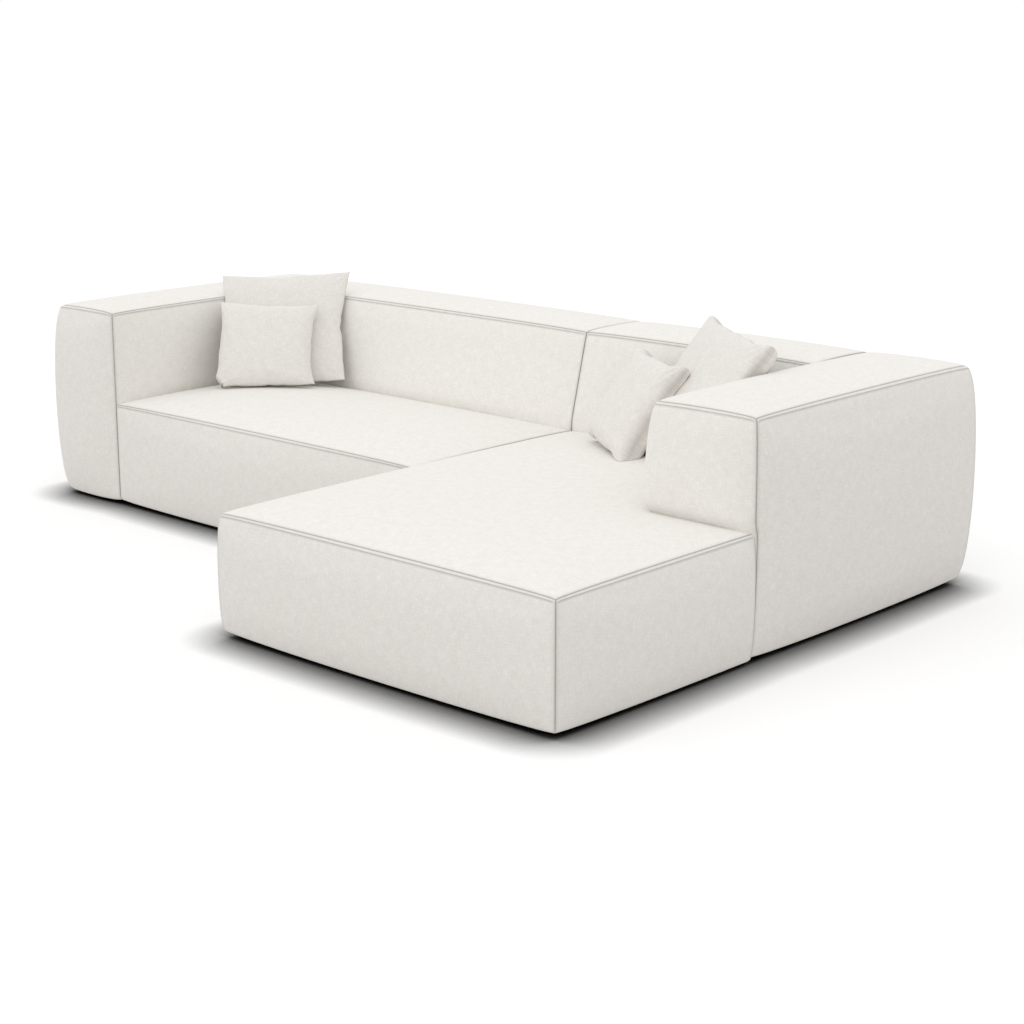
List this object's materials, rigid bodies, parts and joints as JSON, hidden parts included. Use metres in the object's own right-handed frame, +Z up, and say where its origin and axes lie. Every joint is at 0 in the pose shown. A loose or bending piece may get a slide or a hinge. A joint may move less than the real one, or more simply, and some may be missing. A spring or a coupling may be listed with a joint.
{
  "type": "l-shaped sofa",
  "caption": "Low modular corner sofa with a lounge end, block-shaped padded arms and backs with stitched edges, and loose scatter pillows.",
  "frame": {"origin": "middle of the footprint, on the floor", "axes": "+X to the right of someone facing the sofa, along the back; +Y to the rear; +Z up"},
  "size_m": [3.142, 1.9519, 0.8073],
  "materials": {
    "sofa_linen": "ivory linen weave, soft and matte",
    "pillow_linen": "ivory linen weave, soft and matte",
    "fibre_filling": "loose polyester fibre",
    "seat_foam": "open-cell upholstery foam",
    "hardboard": "smooth pressed board",
    "pine": "planed softwood",
    "dust_cloth": "thin non-woven cloth",
    "felt": "needled felt",
    "spring_wire": "drawn spring wire",
    "zinc_steel": "zinc-plated steel",
    "black_steel": "black coated steel",
    "glide_plastic": "moulded black plastic"
  },
  "bodies": {
    "sofa": {"left_arm_cover": "sofa_linen", "left_arm_foam": "seat_foam", "left_arm_boards": "hardboard", "left_arm_frame": "pine", "left_arm_dust_cloth": "dust_cloth", "left_back_cover": "sofa_linen", "left_back_foam": "seat_foam", "left_back_boards": "hardboard", "left_back_frame": "pine", "left_back_dust_cloth": "dust_cloth", "left_seat_cover": "sofa_linen", "left_seat_foam_slab": "seat_foam", "left_seat_foam_border": "seat_foam", "left_seat_felt": "felt", "left_seat_springs": "spring_wire", "left_seat_spring_clips": "zinc_steel", "left_seat_corner_blocks": "pine", "left_seat_frame": "pine", "left_seat_dust_cloth": "dust_cloth", "chaise_cover": "sofa_linen", "chaise_foam_slab": "seat_foam", "chaise_foam_border": "seat_foam", "chaise_felt": "felt", "chaise_springs": "spring_wire", "chaise_spring_clips": "zinc_steel", "chaise_corner_blocks": "pine", "chaise_frame": "pine", "chaise_dust_cloth": "dust_cloth", "right_back_cover": "sofa_linen", "right_back_foam": "seat_foam", "right_back_boards": "hardboard", "right_back_frame": "pine", "right_back_dust_cloth": "dust_cloth", "right_arm_cover": "sofa_linen", "right_arm_foam": "seat_foam", "right_arm_boards": "hardboard", "right_arm_frame": "pine", "right_arm_dust_cloth": "dust_cloth", "glides": "glide_plastic", "glide_screws": "zinc_steel", "joining_plates": "zinc_steel", "plate_screws": "zinc_steel", "module_hooks": "black_steel", "module_catches": "black_steel", "connector_screws": "zinc_steel"},
    "left_large_pillow": {"left_large_pillow_cover": "pillow_linen", "left_large_pillow_filling": "fibre_filling"},
    "left_small_pillow": {"left_small_pillow_cover": "pillow_linen", "left_small_pillow_filling": "fibre_filling"},
    "right_large_pillow": {"right_large_pillow_cover": "pillow_linen", "right_large_pillow_filling": "fibre_filling"},
    "right_small_pillow": {"right_small_pillow_cover": "pillow_linen", "right_small_pillow_filling": "fibre_filling"}
  },
  "joints": [
    {"name": "left_large_pillow_lift", "type": "slide", "parent": "sofa", "child": "left_large_pillow", "axis": [0.5675, -0.6302, 0.5299], "range_m": [0, 0.65]},
    {"name": "left_small_pillow_lift", "type": "slide", "parent": "left_large_pillow", "child": "left_small_pillow", "axis": [0.5675, -0.6302, 0.5299], "range_m": [0, 0.5]},
    {"name": "right_large_pillow_lift", "type": "slide", "parent": "sofa", "child": "right_large_pillow", "axis": [-0.4096, -0.7094, 0.5736], "range_m": [0, 0.65]},
    {"name": "right_small_pillow_lift", "type": "slide", "parent": "right_large_pillow", "child": "right_small_pillow", "axis": [-0.4096, -0.7094, 0.5736], "range_m": [0, 0.5]}
  ]
}
